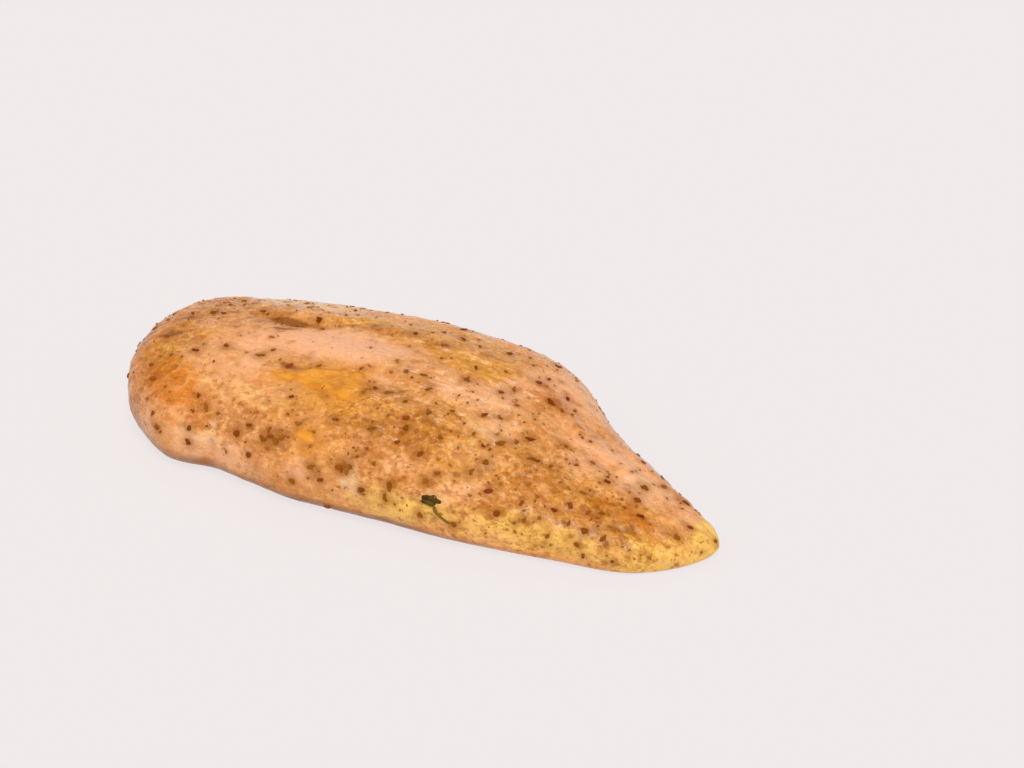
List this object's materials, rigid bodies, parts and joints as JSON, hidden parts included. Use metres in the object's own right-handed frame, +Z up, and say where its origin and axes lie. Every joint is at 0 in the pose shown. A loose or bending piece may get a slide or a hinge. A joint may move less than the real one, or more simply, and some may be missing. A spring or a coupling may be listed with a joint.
{
  "type": "raw chicken breast",
  "caption": "Raw skinless chicken breast fillet, oiled and seasoned with dried herbs and spices, lying flat, with a thick shoulder and a thin tip.",
  "frame": {"origin": "on the surface that the fillet lies on, under the middle of its box", "axes": "+X along the fillet from the thick shoulder to the thin tip, -Y towards the straight edge that lay along the breastbone, +Z up"},
  "size_m": [0.1846, 0.086, 0.0284],
  "materials": {
    "fillet": "raw chicken meat under a thin coat of orange oil, wet and glossy, pink, peach and orange in zones",
    "herbs": "dried and crushed green-brown herb flakes, damp with oil",
    "pepper": "cracked black pepper",
    "chilli": "crushed dried red chilli and paprika flakes",
    "leaf": "scrap of dark green leaf with its stalk",
    "oil": "orange cooking oil that lies in shallow pools and drops"
  },
  "bodies": {
    "root": {"fillet": "fillet"}
  },
  "joints": []
}
